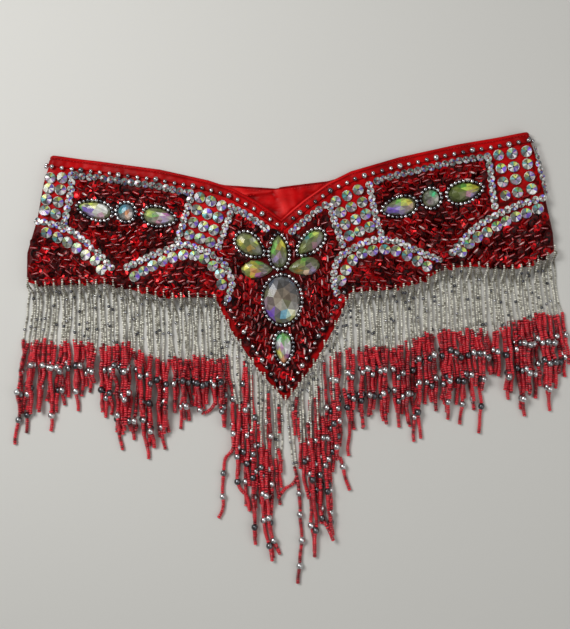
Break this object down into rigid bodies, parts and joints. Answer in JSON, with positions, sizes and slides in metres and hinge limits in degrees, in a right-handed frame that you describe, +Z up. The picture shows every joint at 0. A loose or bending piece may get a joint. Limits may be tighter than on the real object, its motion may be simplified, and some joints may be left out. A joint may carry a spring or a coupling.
{
  "type": "beaded belly dance hip belt",
  "caption": "Satin hip belt laid flat, with a deep V at the front, glass bead embroidery, faceted sew-on stones and a long two-colour bead fringe along its hem.",
  "frame": {"origin": "on the back panel's underside, below the lowest point of the dip in the front's waist edge", "axes": "+X across the belt from its left to its right as seen from above, +Y from the hem towards the waist, +Z up from the surface that it lies on"},
  "size_m": [0.468, 0.3692, 0.0111],
  "materials": {
    "satin": "bright red polyester satin, soft sheen",
    "binding_satin": "red satin waist binding, soft sheen",
    "clear_stone": "clear faceted sew-on stone with a foiled back",
    "shimmer_stone": "faceted sew-on stone and discs with an iridescent coating",
    "red_beads": "glossy dark red glass seed and bugle beads",
    "clear_beads": "silver-lined clear glass seed beads",
    "silver_beads": "bright silver metallic round beads"
  },
  "bodies": {
    "root": {"front_panel": "satin", "back_panel": "satin", "waist_binding_left": "binding_satin", "waist_binding_right": "binding_satin", "stone_oval": "clear_stone", "stone_drop": "shimmer_stone", "petal_top": "shimmer_stone", "petal_upper_left": "shimmer_stone", "petal_upper_right": "shimmer_stone", "petal_lower_left": "shimmer_stone", "petal_lower_right": "shimmer_stone", "navette_outer_left": "shimmer_stone", "round_left": "shimmer_stone", "navette_inner_left": "shimmer_stone", "navette_inner_right": "shimmer_stone", "round_right": "shimmer_stone", "navette_outer_right": "shimmer_stone", "fringe_left": "red_beads", "fringe_right": "red_beads", "fringe_centre_left": "red_beads", "fringe_centre_right": "red_beads", "fringe_middle": "red_beads"}
  },
  "joints": []
}
